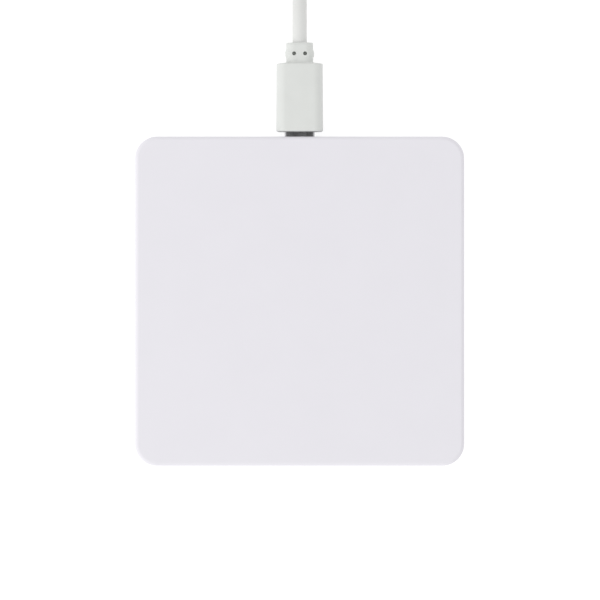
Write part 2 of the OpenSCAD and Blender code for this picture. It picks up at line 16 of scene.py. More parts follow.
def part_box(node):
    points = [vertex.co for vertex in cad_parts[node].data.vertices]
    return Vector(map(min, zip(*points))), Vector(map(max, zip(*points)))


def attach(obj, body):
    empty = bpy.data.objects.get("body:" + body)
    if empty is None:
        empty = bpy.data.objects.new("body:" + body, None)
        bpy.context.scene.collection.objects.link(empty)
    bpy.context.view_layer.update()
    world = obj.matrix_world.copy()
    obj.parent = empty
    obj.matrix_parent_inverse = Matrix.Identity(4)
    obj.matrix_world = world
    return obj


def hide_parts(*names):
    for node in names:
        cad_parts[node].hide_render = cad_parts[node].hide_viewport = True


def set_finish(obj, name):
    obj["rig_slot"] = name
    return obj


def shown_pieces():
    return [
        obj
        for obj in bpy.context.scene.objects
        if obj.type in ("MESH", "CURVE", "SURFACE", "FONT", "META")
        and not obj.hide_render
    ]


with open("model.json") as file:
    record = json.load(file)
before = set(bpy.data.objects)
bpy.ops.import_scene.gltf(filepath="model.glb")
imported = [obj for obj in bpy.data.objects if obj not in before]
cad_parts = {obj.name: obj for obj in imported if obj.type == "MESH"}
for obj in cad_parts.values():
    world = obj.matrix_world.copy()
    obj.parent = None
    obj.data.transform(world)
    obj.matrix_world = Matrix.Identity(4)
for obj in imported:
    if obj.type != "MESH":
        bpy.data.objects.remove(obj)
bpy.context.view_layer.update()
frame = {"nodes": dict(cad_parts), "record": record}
nodes = frame["nodes"]

MM = 0.001


def box_of(node):
    """Lowest and highest corner of a CAD node, in millimetres."""
    low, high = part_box(node)
    return low / MM, high / MM


def add_object(name, data):
    """A new object in the scene."""
    added = bpy.data.objects.new(name, data)
    bpy.context.collection.objects.link(added)
    return added


# ---------- sizes, in millimetres

GRIP_LOW, GRIP_HIGH = box_of("plug_overmould")
USB_LOW, USB_HIGH = box_of("usb_a_overmould")
SHELL_LOW, SHELL_HIGH = box_of("plug_shell")
USB_SHELL_LOW, USB_SHELL_HIGH = box_of("usb_a_shell")
PORT_Z = (GRIP_LOW.z + GRIP_HIGH.z) / 2
USB_Z = (USB_LOW.z + USB_HIGH.z) / 2
USB_X = (USB_LOW.x + USB_HIGH.x) / 2

NECK_L = 4.5
NECK_HALF_W = 3.075
NECK_HALF_H = 2.5
NECK_ROUND = 1.9
COLLAR_START = 1.0
COLLAR_END = 3.0
COLLAR_RISE = 0.6
COLLAR_GROW = 0.225
HOLE_R = 0.45
HOLE_X = 1.25
HOLE_Y = 2.0
HOLE_BOTTOM = 0.95
HOLE_RINGS = (0.2, 0.08)
HOLE_EDGE = 0.06
HOLE_TAPER = 0.02
HOLE_CELLS = 8

CORD_R = 1.65
BORE_DEPTH = 1.0
BORE_GAP = 0.005
BORE_EDGE = 0.02
COIL_CENTRE = Vector((-14, 98, 0))
COIL_R = 24
COIL_PITCH = 3.4
COIL_TURNS = 4
COIL_STEPS = 48
COIL_OVAL = 0.3
COIL_CLIMB = 0.3
COIL_MIDDLE_R = COIL_R - COIL_PITCH * COIL_TURNS / 2
CORD_SIDES = 24
ROUTE_STEPS = 4
TIE_T = 0.5
TIE_RAMP = 7

# ---------- camera

VIEW_WIDTH = 136.6
VIEW_MIDDLE = (0.08, 0.26)
CAMERA_HEIGHT = 1000
PAD_TOP = box_of("top_cover")[1].z


def make_camera():
    """Straight above the pad, with a long lens, so that no side of it shows."""
    data = bpy.data.cameras.new("camera")
    data.sensor_width = 36
    data.lens = data.sensor_width * CAMERA_HEIGHT / VIEW_WIDTH
    data.clip_start = 0.05
    data.clip_end = 20
    camera = add_object("camera", data)
    camera.location = Vector((*VIEW_MIDDLE, PAD_TOP + CAMERA_HEIGHT)) * MM
    bpy.context.scene.camera = camera


make_camera()

# ---------- making pieces


def sweep(path, sections, side, closed=False):
    """A bar along a path. sections[i] holds its (across, up) points at path[i], and across
    keeps to the direction side."""
    count = len(path)
    size = len(sections[0])
    points = []
    for i, place in enumerate(path):
        after = path[(i + 1) % count] if closed else path[min(i + 1, count - 1)]
        before = path[i - 1] if closed else path[max(i - 1, 0)]
        along = (after - before).normalized()
        across = (side - along * side.dot(along)).normalized()
        up = across.cross(along)
        points += [place + across * s[0] + up * s[1] for s in sections[i]]
    faces = []
    for i in range(count if closed else count - 1):
        a, b = i * size, (i + 1) % count * size
        for k in range(size):
            near = (k + 1) % size
            faces.append((a + k, a + near, b + near, b + k))
    if not closed:
        faces += [list(range(size)), list(range((count - 1) * size, count * size))]
    return points, faces


def make_mesh(name, points, faces, sharp=35):
    """A closed mesh in metres, smooth but for edges sharper than an angle in degrees."""
    mesh = bpy.data.meshes.new(name)
    mesh.from_pydata([Vector(p) * MM for p in points], [], faces)
    work = bmesh.new()
    work.from_mesh(mesh)
    bmesh.ops.recalc_face_normals(work, faces=work.faces)
    work.to_mesh(mesh)
    work.free()
    mesh.shade_smooth()
    mesh.set_sharp_from_angle(angle=math.radians(sharp))
    return mesh


def make_piece(name, mesh, body, slot, stands_for):
    """A visible piece that rides on a body and stands for CAD nodes."""
    piece = add_object(name, mesh)
    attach(piece, body)
    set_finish(piece, slot)
    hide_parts(*stands_for)
    return piece


# ---------- cord

LEAD_ROUTE = [
    (0, 58, PORT_Z), (0, 59, PORT_Z), (0, 61, PORT_Z), (0, 63.5, 4.95), (0, 66, 4.6),
    (0, 68.5, 4.1), (0, 71, 3.45), (0.3, 73.5, 2.8), (0.9, 76, 2.3), (1.8, 78.5, 1.95),
    (2.9, 81, 1.75), (4.2, 83.5, 1.67), (5.5, 86, 1.65), (6.7, 88.5, 1.65), (7.9, 91, 1.65),
    (8.8, 93.5, 1.65), (9.5, 96, 1.65),
]
TAIL_ROUTE = [
    (10, 101, 4.95), (10, 105, 4.85), (10, 109, 4.6), (10, 113, 4.3), (10, 117, 4.05),
    (10, 120, USB_Z), (10, 122, USB_Z), (10, 123, USB_Z),
]


def smoothstep(x, low, high):
    """0 below low, 1 above high, and a smooth climb between them."""
    t = min(1, max(0, (x - low) / (high - low)))
    return t * t * (3 - 2 * t)


def coil_point(turns):
    """Point of the coiled cord: four turns inwards on the table, then four outwards on top."""
    angle = 2 * math.pi * turns
    inward = min(turns, 2 * COIL_TURNS - turns)
    upper = smoothstep(turns, COIL_TURNS - COIL_CLIMB, COIL_TURNS + COIL_CLIMB)
    radius = COIL_R - COIL_PITCH * inward - COIL_OVAL * math.sin(angle) ** 2
    from_tie = (turns % 1 - 0.5) * 2 * math.pi * radius
    lift = TIE_T * math.exp(-((from_tie / TIE_RAMP) ** 2))
    height = CORD_R * (1 + 2 * upper) + lift
    return COIL_CENTRE + Vector((radius * math.cos(angle), radius * math.sin(angle), height))


def rounded_route(points):
    """Catmull-Rom curve through the points, so that a given route has no corners."""
    points = [Vector(p) for p in points]
    route = []
    for i in range(len(points) - 1):
        before = points[max(i - 1, 0)]
        a, b = points[i], points[i + 1]
        after = points[min(i + 2, len(points) - 1)]
        square = 2 * before - 5 * a + 4 * b - after
        cube = 3 * a - before - 3 * b + after
        for step in range(ROUTE_STEPS):
            t = step / ROUTE_STEPS
            route.append(0.5 * (2 * a + (b - before) * t + square * t ** 2 + cube * t ** 3))
    return route + [points[-1]]


def make_cord():
    """The whole cord as one tube: lead, eight coiled turns and tail. Returns it and its path.
    The lead and the tail are curved into the coil's end spans, whose points only the coil keeps."""
    last = 2 * COIL_TURNS * COIL_STEPS
    coil = [coil_point(i / COIL_STEPS) for i in range(last + 1)]
    shared = ROUTE_STEPS + 1
    lead = rounded_route(LEAD_ROUTE + coil[:2])[:-shared]
    tail = rounded_route(coil[-2:] + TAIL_ROUTE)[shared:]
    path = lead + coil + tail
    turns = [2 * math.pi * k / CORD_SIDES for k in range(CORD_SIDES)]
    circle = [(CORD_R * math.cos(a), CORD_R * math.sin(a)) for a in turns]
    mesh = make_mesh("usb_cord", *sweep(path, [circle] * len(path), Vector((0, 0, 1))))
    stands_for = ["cord_lead", "cord_coil", "cord_tail"]
    return make_piece("usb_cord", mesh, "cable", "cord_jacket", stands_for), path


usb_cord, cord_path = make_cord()

# ---------- outlines and skins

MICRO_CUT = 0.7
MICRO_OPENING_ROUND = 0.25
USB_OPENING_ROUND = 0.5


def outline(corners, radius, arc_steps, side_steps=None, cuts=()):
    """Anticlockwise outline in X and Z with rounded corners. arc_steps and side_steps say how
    many pieces each corner and each side is cut into, and cuts are more x values for points."""
    corners = [Vector(c) for c in corners]
    count = len(corners)
    arcs = []
    for i, corner in enumerate(corners):
        to_last = (corners[i - 1] - corner).normalized()
        to_next = (corners[(i + 1) % count] - corner).normalized()
        half = to_last.angle(to_next) / 2
        centre = corner + (to_last + to_next).normalized() * radius / math.sin(half)
        start = corner + to_last * radius / math.tan(half) - centre
        first = math.atan2(start.y, start.x)
        steps = arc_steps[i]
        turns = [first + (math.pi - 2 * half) * step / steps for step in range(steps + 1)]
        arcs.append([centre + radius * Vector((math.cos(a), math.sin(a))) for a in turns])
    points = []
    for i, arc in enumerate(arcs):
        a, b = arc[-1], arcs[(i + 1) % count][0]
        steps = side_steps[i] if side_steps else 1
        shares = [step / steps for step in range(1, steps)]
        inside = [x for x in cuts if min(a.x, b.x) < x < max(a.x, b.x)]
        shares += sorted((x - a.x) / (b.x - a.x) for x in inside)
        points += arc + [a.lerp(b, share) for share in shares]
    return points


def rectangle(half_w, half_h):
    """A rectangle's corners, anticlockwise."""
    return [(half_w, half_h), (-half_w, half_h), (-half_w, -half_h), (half_w, -half_h)]


def section(half_w, half_h, radius):
    """Rounded rectangle of 96 points, so that any two sections can be joined point to point."""
    return outline(rectangle(half_w, half_h), radius, (15,) * 4, (12, 6, 12, 6))


def micro_corners(grow=0):
    """Corners of a micro-USB shell: a rectangle whose lower corners are cut off."""
    half_w = (SHELL_HIGH.x - SHELL_LOW.x) / 2 + grow
    half_h = (SHELL_HIGH.z - SHELL_LOW.z) / 2 + grow
    cut = MICRO_CUT + grow * (2 - math.sqrt(2))
    return [
        (half_w, half_h), (-half_w, half_h), (-half_w, cut - half_h), (cut - half_w, -half_h),
        (half_w - cut, -half_h), (half_w, cut - half_h),
    ]


def micro_section(grow=0):
    """The micro-USB shell's outline, with as many points as section() has."""
    arc_steps = (15, 15, 5, 5, 5, 5)
    return outline(micro_corners(grow), MICRO_OPENING_ROUND, arc_steps, (12, 6, 5, 12, 5, 6))


def usb_section(grow=0):
    """The USB-A shell's outline, with as many points as section() has."""
    half_w = (USB_SHELL_HIGH.x - USB_SHELL_LOW.x) / 2 + grow
    half_h = (USB_SHELL_HIGH.z - USB_SHELL_LOW.z) / 2 + grow
    return section(half_w, half_h, USB_OPENING_ROUND)


def mix(first, second, share):
    """The outline that lies a share of the way from the first one to the second."""
    return [a.lerp(b, share) for a, b in zip(first, second)]


def circle_like(ring, radius):
    """A circle whose points lie in the same directions as those of a ring."""
    return [p.normalized() * radius for p in ring]


def quarter(steps):
    """Angles from 0 to 90 degrees."""
    return [math.pi / 2 * step / steps for step in range(steps + 1)]


class Skin:
    """A surface of rings of points, each joined to the one before it."""

    def __init__(self):
        self.points = []
        self.faces = []
        self.rings = []
        self.cells = {}

    def ring(self, y, shape):
        first = len(self.points)
        self.points += [Vector((p.x, y, p.y)) for p in shape]
        self.rings.append(first)
        size = len(shape)
        row = len(self.rings) - 2
        if row >= 0:
            last = self.rings[row]
            for k in range(size):
                near = (k + 1) % size
                self.cells[row, k] = (last + k, last + near, first + near, first + k)

    def cap(self, row, size):
        self.faces.append([self.rings[row] + k for k in range(size)])

    def loop(self, old, new):
        """Adds a loop of points and joins it to an old loop of the same size."""
        first = len(self.points)
        self.points += new
        ids = [first + k for k in range(len(new))]
        for k in range(len(new)):
            near = (k + 1) % len(new)
            self.faces.append((old[k], old[near], ids[near], ids[k]))
        return ids

    def drill(self, row, column, centre, side, height):
        """A round blind hole: a square of cells is opened, and its edge led down the hole.
        height(x, y) is the surface above the middle plane, and side is 1 above and -1 below."""
        size = self.rings[row + 1] - self.rings[row]
        cells = HOLE_CELLS

        def spot(r, c):
            return self.rings[row + r] + (column + c) % size

        for r in range(cells):
            for c in range(cells):
                del self.cells[row + r, (column + c) % size]
        span = range(cells)
        edge = [spot(0, c) for c in span] + [spot(r, cells) for r in span]
        edge += [spot(cells, cells - c) for c in span] + [spot(cells - r, 0) for r in span]
        turns = [math.atan2(self.points[e].y - centre[1], self.points[e].x - centre[0]) for e in edge]

        def circle(r, depth=0):
            around = [(centre[0] + r * math.cos(a), centre[1] + r * math.sin(a)) for a in turns]
            return [Vector((x, y, side * (height(x, y) - depth))) for x, y in around]

        ids = edge
        for outside in HOLE_RINGS:
            ids = self.loop(ids, circle(HOLE_R + outside))
        for a in quarter(3)[1:]:
            depth = HOLE_EDGE * (1 - math.cos(a))
            ids = self.loop(ids, circle(HOLE_R + HOLE_EDGE * (1 - math.sin(a)), depth))
        floor = [Vector((p.x, p.y, side * HOLE_BOTTOM)) for p in circle(HOLE_R - HOLE_TAPER)]
        self.faces.append(self.loop(ids, floor))

    def mesh(self):
        return self.points, list(self.cells.values()) + self.faces


def finished(piece, *modifiers):
    """Adds modifiers, given as (type, {setting: value}), and keeps only their result."""
    for kind, settings in modifiers:
        modifier = piece.modifiers.new(kind.lower(), kind)
        for key, value in settings.items():
            setattr(modifier, key, value)
    shaped = piece.evaluated_get(bpy.context.evaluated_depsgraph_get())
    mesh = bpy.data.meshes.new_from_object(shaped)
    piece.modifiers.clear()
    piece.data = mesh
    return piece


def edge_bevel(width, segments=2, angle=40):
    """Settings of a bevel that rounds every edge sharper than an angle, width in millimetres."""
    return ("BEVEL", {
        "width": width * MM, "segments": segments, "limit_method": "ANGLE",
        "angle_limit": math.radians(angle), "harden_normals": True,
    })


# ---------- moulded grips

FRONT_ROUND = 0.5
REAR_ROUND = 0.2
SHOULDER_SLOPE = 0.3
NECK_FILLET = 0.12
NECK_STEP = 0.18
END_ROUND = 0.1
END_SLOPE = 0.6
END_DROP = 0.3
DRAFT = 0.08
GRIP_ROUND = 2.2
BODY_STEPS = 12
SHELL_FIT = 0.02
MOUTH_GROW = 0.1
MOUTH_DEPTH = 0.08
MOULD_START = 0.6
MOULD_SHORT = 4
MOULD_ROUND = 0.1
MICRO_MOULD = (4, 2.2)
USB_MOULD = (6.8, 2.9)


def collar(y):
    """How far the neck bulges at its sides, y from the neck's foot."""
    rise = smoothstep(y, COLLAR_START, COLLAR_START + COLLAR_RISE)
    return COLLAR_GROW * rise * (1 - smoothstep(y, COLLAR_END - COLLAR_RISE, COLLAR_END))


def neck_half_h(y):
    """Half the neck's height, which falls off towards the cord."""
    return NECK_HALF_H - END_DROP * smoothstep(y, NECK_L - END_SLOPE, NECK_L)


def neck_section(y, inset=0):
    """The neck's outline, y from its foot."""
    half_w = NECK_HALF_W + collar(y)
    return section(half_w - inset, neck_half_h(y) - inset, NECK_ROUND - inset)


def grip_skin(half_w, half_h, length, opening, mould):
    """A grip with its neck, from the cavity for the inner moulding, out through the shell's
    opening and over the outside to the cord's bore. y is 0 at the front face, opening is the
    shell's outline, and mould is half the inner moulding's width and height."""
    skin = Skin()
    cavity = section(*mould, MOULD_ROUND)
    mouth = opening(MOUTH_GROW)
    skin.ring(length - MOULD_SHORT, cavity)
    skin.cap(0, len(cavity))
    skin.ring(MOULD_START, cavity)
    skin.ring(MOULD_START, opening(SHELL_FIT))
    skin.ring(MOUTH_DEPTH, opening(SHELL_FIT))
    skin.ring(0, mouth)

    def body(y, inset):
        narrow = inset + DRAFT * y / length
        return section(half_w - narrow, half_h - inset, GRIP_ROUND - inset)

    face = body(0, FRONT_ROUND)
    for share in (0.5, 0.95):
        skin.ring(0, mix(mouth, face, share))
    for a in quarter(6):
        skin.ring(FRONT_ROUND * (1 - math.cos(a)), body(0, FRONT_ROUND * (1 - math.sin(a))))
    shoulder = length - SHOULDER_SLOPE
    straight = shoulder - REAR_ROUND - FRONT_ROUND
    for step in range(1, BODY_STEPS):
        y = FRONT_ROUND + straight * step / BODY_STEPS
        skin.ring(y, body(y, 0))
    for a in quarter(6):
        y = shoulder - REAR_ROUND * (1 - math.sin(a))
        skin.ring(y, body(y, REAR_ROUND * (1 - math.cos(a))))
    foot = neck_section(0, -NECK_FILLET)
    for share in (0.06, 0.3, 0.6, 0.92):
        skin.ring(shoulder + SHOULDER_SLOPE * share, mix(body(shoulder, REAR_ROUND), foot, share))
    for a in quarter(4):
        y = NECK_FILLET * (1 - math.cos(a))
        skin.ring(length + y, neck_section(y, -NECK_FILLET * (1 - math.sin(a))))
    neck_row = len(skin.rings) - 1
    steps = round((NECK_L - END_ROUND - NECK_FILLET) / NECK_STEP)
    for step in range(1, steps):
        y = NECK_FILLET + step * NECK_STEP
        skin.ring(length + y, neck_section(y))
    for a in quarter(4):
        y = NECK_L - END_ROUND * (1 - math.sin(a))
        skin.ring(length + y, neck_section(y, END_ROUND * (1 - math.cos(a))))
    end = neck_section(NECK_L, END_ROUND)
    bore = CORD_R + BORE_GAP
    for share in (0.1, 0.5, 0.9):
        skin.ring(length + NECK_L, mix(end, circle_like(end, bore + BORE_EDGE), share))
    for a in quarter(3):
        y = length + NECK_L - BORE_EDGE * (1 - math.cos(a))
        skin.ring(y, circle_like(end, bore + BORE_EDGE * (1 - math.sin(a))))
    skin.ring(length + NECK_L - BORE_DEPTH, circle_like(end, bore))
    skin.cap(-1, len(end))

    def height(x, y):
        past_flat = max(0, abs(x) - NECK_HALF_W - collar(y - length) + NECK_ROUND)
        return NECK_HALF_H - NECK_ROUND + math.sqrt(NECK_ROUND ** 2 - past_flat ** 2)

    first = neck_row + round((HOLE_Y - NECK_FILLET) / NECK_STEP) - HOLE_CELLS // 2
    ring = neck_section(HOLE_Y)
    for side in (-1, 1):
        for x in (-HOLE_X, HOLE_X):
            above = Vector((x, side * NECK_HALF_H))
            gaps = [(point - above).length for point in ring]
            column = gaps.index(min(gaps)) - HOLE_CELLS // 2
            skin.drill(first, column, (x, length + HOLE_Y), side, height)
    return skin.mesh()


def placed(points, place, turn=0):
    """Turns points about the vertical axis, and moves them."""
    spin = Matrix.Rotation(math.radians(turn), 3, "Z")
    return [spin @ p + place for p in points]


def make_grip(name, node, opening, mould, place, turn=0):
    """The grip that stands for a node, with its front face at a place, turned in degrees."""
    low, high = box_of(node)
    half_w, half_h = (high.x - low.x) / 2, (high.z - low.z) / 2
    points, faces = grip_skin(half_w, half_h, high.y - low.y - NECK_L, opening, mould)
    mesh = make_mesh(name, placed(points, place, turn), faces)
    return make_piece(name, mesh, "cable", "grip_plastic", [node])


micro_grip = make_grip("micro_usb_grip", "plug_overmould", micro_section, MICRO_MOULD,
                       Vector((0, GRIP_LOW.y, PORT_Z)))
usb_grip = make_grip("usb_a_grip", "usb_a_overmould", usb_section, USB_MOULD,
                     Vector((USB_X, USB_HIGH.y, USB_Z)), 180)

# ---------- stamped shells

MICRO_SHEET = 0.25
MICRO_ROUNDS = (0.35, 0.12)
MICRO_WINDOW_X = (1.9, 2.9)
MICRO_WINDOW_Y = (1.3, 3.1)
MICRO_BEVEL = 0.05
USB_SHEET = 0.3
USB_ROUNDS = (0.5, 0.2)
USB_WINDOW_X = (1.75, 4.25)
USB_WINDOW_Y = (-6.45, -3.95)
USB_BEVEL = 0.07


def sheet_tube(outer, inner, stations, windows):
    """A tube of bent sheet metal. windows are (x0, x1, y0, y1, side), side 1 on top and -1
    below, and their edges lie on the outline's points and on the stations."""
    size = len(outer)
    points = []
    for y in stations:
        points += [Vector((p.x, y, p.y)) for p in outer]
        points += [Vector((p.x, y, p.y)) for p in inner]

    def out(i, k):
        return i * 2 * size + k % size

    def into(i, k):
        return out(i, k) + size

    def is_open(i, k):
        if not 0 <= i < len(stations) - 1:
            return True
        x = (outer[k % size].x + outer[(k + 1) % size].x) / 2
        z = (outer[k % size].y + outer[(k + 1) % size].y) / 2
        y = (stations[i] + stations[i + 1]) / 2
        return any(x0 < x < x1 and y0 < y < y1 and side * z > 0 for x0, x1, y0, y1, side in windows)

    faces = []
    for i in range(len(stations)):
        for k in range(size):
            if not is_open(i, k):
                faces.append((out(i, k), out(i, k + 1), out(i + 1, k + 1), out(i + 1, k)))
                faces.append((into(i, k), into(i + 1, k), into(i + 1, k + 1), into(i, k + 1)))
            if is_open(i, k) != is_open(i - 1, k):
                faces.append((out(i, k), out(i, k + 1), into(i, k + 1), into(i, k)))
            if i < len(stations) - 1 and is_open(i, k) != is_open(i, k - 1):
                faces.append((out(i, k), out(i + 1, k), into(i + 1, k), into(i, k)))
    return points, faces


def mirrored(span):
    """A span of x values, and the same span on the other side."""
    return [span, (-span[1], -span[0])]


def make_shell(name, node, outer, inner, stations, windows, place, bevel):
    """A plug's shell, moved to a place, with its edges rounded."""
    points, faces = sheet_tube(outer, inner, stations, windows)
    mesh = make_mesh(name, placed(points, place), faces)
    return finished(make_piece(name, mesh, "cable", "plug_steel", [node]), edge_bevel(bevel))


def make_micro_shell():
    """The micro-USB plug's shell, with the two windows that its latches stand in."""
    y0, y1 = SHELL_LOW.y, SHELL_HIGH.y
    spans = mirrored(MICRO_WINDOW_X)
    cuts = spans[0] + spans[1]
    steps = (5,) * 6
    outer = outline(micro_corners(), MICRO_ROUNDS[0], steps, cuts=cuts)
    inner = outline(micro_corners(-MICRO_SHEET), MICRO_ROUNDS[1], steps, cuts=cuts)
    window_y = [y0 + y for y in MICRO_WINDOW_Y]
    windows = [(*span, *window_y, 1) for span in spans]
    return make_shell("micro_usb_shell", "plug_shell", outer, inner, [y0, *window_y, y1], windows,
                      Vector((0, 0, PORT_Z)), MICRO_BEVEL)


def make_usb_shell():
    """The USB-A plug's shell, with two windows above and two below."""
    y0, y1 = USB_SHELL_LOW.y, USB_SHELL_HIGH.y
    half_w = (USB_SHELL_HIGH.x - USB_SHELL_LOW.x) / 2
    half_h = (USB_SHELL_HIGH.z - USB_SHELL_LOW.z) / 2
    spans = mirrored(USB_WINDOW_X)
    cuts = spans[0] + spans[1]
    steps = (6,) * 4
    outer = outline(rectangle(half_w, half_h), USB_ROUNDS[0], steps, cuts=cuts)
    inside = rectangle(half_w - USB_SHEET, half_h - USB_SHEET)
    inner = outline(inside, USB_ROUNDS[1], steps, cuts=cuts)
    window_y = [y1 + y for y in USB_WINDOW_Y]
    windows = [(*span, *window_y, side) for span in spans for side in (-1, 1)]
    return make_shell("usb_a_plug_shell", "usb_a_shell", outer, inner, [y0, *window_y, y1], windows,
                      Vector((USB_X, 0, USB_Z)), USB_BEVEL)


micro_shell = make_micro_shell()
usb_shell = make_usb_shell()

# ---------- twist tie

TIE_HALF_W = 1.8
TIE_WING = 0.14
TIE_CORE = 0.32
TIE_FIT = 0.02
TWIST_L = 11
TWIST_TURNS = 2.6
TWIST_STEPS = 60
TWIST_HALF_W = 1.05
TWIST_WING = 0.24
TWIST_CORE = 0.42
TWIST_LIFT = 2.15
TWIST_SAG = 0.1
TWIST_FLARE = 0.25
STRANDS_X = COIL_CENTRE.x - COIL_MIDDLE_R
STRANDS_HALF_W = COIL_PITCH * (COIL_TURNS - 1) / 2 + CORD_R


def ribbon(half_w, wing, core):
    """Section of a flat ribbon with a wire in its middle, as (across, up) points."""
    count = 24
    points = []
    for k in range(count):
        a = 2 * math.pi * k / count
        x = half_w * math.copysign(abs(math.cos(a)) ** 0.8, math.cos(a))
        thick = wing + (core - wing) * math.exp(-((x / (1.4 * core)) ** 2))
        points.append((x, thick * math.copysign(abs(math.sin(a)) ** 0.6, math.sin(a))))
    return points


def twisted_ends():
    """The ribbon's two ends, twisted together along the valley between two turns of cord."""
    path, sections = [], []
    for step in range(TWIST_STEPS + 1):
        t = step / TWIST_STEPS
        angle = math.pi - TWIST_L * t / COIL_MIDDLE_R
        x, y = COIL_MIDDLE_R * math.cos(angle), COIL_MIDDLE_R * math.sin(angle)
        z = 3 * CORD_R + TIE_T + TWIST_LIFT - TWIST_SAG * math.sin(math.pi * t)
        path.append(COIL_CENTRE + Vector((x, y, z)))
        turn = Matrix.Rotation(2 * math.pi * TWIST_TURNS * t, 2)
        flare = 1 + TWIST_FLARE * smoothstep(t, 0.85, 1)
        sections.append([turn @ Vector(p) for p in ribbon(TWIST_HALF_W * flare, TWIST_WING, TWIST_CORE)])
    return sweep(path, sections, Vector((1, 0, 0)))


def make_tie():
    """A ribbon with a wire core, laid round the coil and twisted shut on top."""
    gap = TIE_WING + TIE_FIT
    half_h = 2 * CORD_R + gap
    loop = outline(rectangle(STRANDS_HALF_W + gap, half_h), CORD_R + gap, (8,) * 4, (10, 4, 10, 4))
    middle = Vector((STRANDS_X, COIL_CENTRE.y, TIE_T + 2 * CORD_R))
    path = [middle + Vector((p.x, 0, p.y)) for p in loop]
    band = ribbon(TIE_HALF_W, TIE_WING, TIE_CORE)
    points, faces = sweep(path, [band] * len(path), Vector((0, 1, 0)), closed=True)
    tie = make_piece("twist_tie", make_mesh("twist_tie", points, faces), "cable", "tie_plastic",
                     ["cable_tie"])
    helper = add_object("twist", make_mesh("twist", *twisted_ends()))
    finished(tie, ("BOOLEAN", {"object": helper, "operation": "UNION", "solver": "EXACT"}))
    bpy.data.objects.remove(helper)
    return tie


tie = make_tie()

# ---------- charging coil

LITZ_R = 0.565
LITZ_PITCH = 1.17
LITZ_OUTER_R = 21.41
LITZ_TURNS = 9.9
LITZ_FIRST = math.radians(114)
LITZ_STEPS = 120
LITZ_LAY = 14
LITZ_GROOVE = 0.86
LITZ_TAPER = 3
LITZ_FIT = 0.01
STRANDS = 7
ADHESIVE_LOW = box_of("coil_adhesive")[0]


def litz_section(radius, along):
    """A bundle of strands, turned as the strands are laid round each other."""
    twist = 2 * math.pi * along / LITZ_LAY
    points = []
    for k in range(2 * STRANDS):
        a = math.pi * k / STRANDS
        r = radius * (1 if k % 2 == 0 else LITZ_GROOVE)
        points.append((r * math.cos(a + twist), r * math.sin(a + twist)))
    return points


def litz(path, radii):
    """The wire's sections along a path, whose radius runs from the first of radii to the second."""
    along = [0]
    for a, b in zip(path, path[1:]):
        along.append(along[-1] + (b - a).length)
    first, last = radii
    return [litz_section(first + (last - first) * smoothstep(s, 0, LITZ_TAPER), s) for s in along]


def make_charging_coil():
    """A flat spiral of litz wire, ten turns wide, under the adhesive sheet. Returns its ends."""
    z = ADHESIVE_LOW.z - LITZ_R - LITZ_FIT
    steps = int(LITZ_TURNS * LITZ_STEPS)
    path = []
    for step in range(steps + 1):
        turns = LITZ_TURNS * step / steps
        a = LITZ_FIRST + 2 * math.pi * turns
        r = LITZ_OUTER_R - LITZ_PITCH * (LITZ_TURNS - turns)
        path.append(Vector((r * math.cos(a), r * math.sin(a), z)))
    sections = litz(path, (LITZ_R, LITZ_R))
    mesh = make_mesh("litz_coil", *sweep(path, sections, Vector((0, 0, 1))), sharp=80)
    make_piece("litz_coil", mesh, "pad", "litz_copper", ["charging_coil"])
    return path[0], path[-1]


coil_inner_end, coil_outer_end = make_charging_coil()

# ---------- parts on the board

BOARD_TOP = box_of("circuit_board")[1].z
DOT_H = 0.02
PACKAGE_GAP = 0.03

CONTACTS = 8
CONTACT_L = 0.4
CONTACT_HALF_W = 0.14
CONTACT_T = 0.2
CONTACT_EDGE = 0.55
CONTROLLER_DOT = (0.8, 0.8)
CONTROLLER_DOT_R = 0.28

MOSFET_XS = (7, 13.5)
MOSFET_TABS = 4
MOSFET_DOT = (0.8, 1)
MOSFET_DOT_R = 0.3
TAB_W = 0.7
TAB_OUT = 0.2
TAB_T = 0.25

RESONANT_W = 1.6
FILTER_XS = (-16, -12, 17)
FILTER_W = 2.5
END_SHARE = 0.18
END_PROUD = 0.03
RESISTOR_W = 0.8
RESISTOR_L = 1.6
FILM_T = 0.07
FILM_INSET = (0.05, 0.03)

LAMP_BASE_T = 0.35
LAMP_END_L = 0.3
LAMP_END_T = 0.36
LENS_SIZE = (1.3, 0.9)
LENS_LIFT = 0.3

LEAD_R = 0.4
LEAD_X = 4
LEAD_END_Y = 28
LEAD_BEND = 1.1
SOLDER_R = 1.0
SOLDER_H = 0.55
SOLDER_SHAPE = ((1, 0), (0.8, 0.2), (0.6, 0.55))


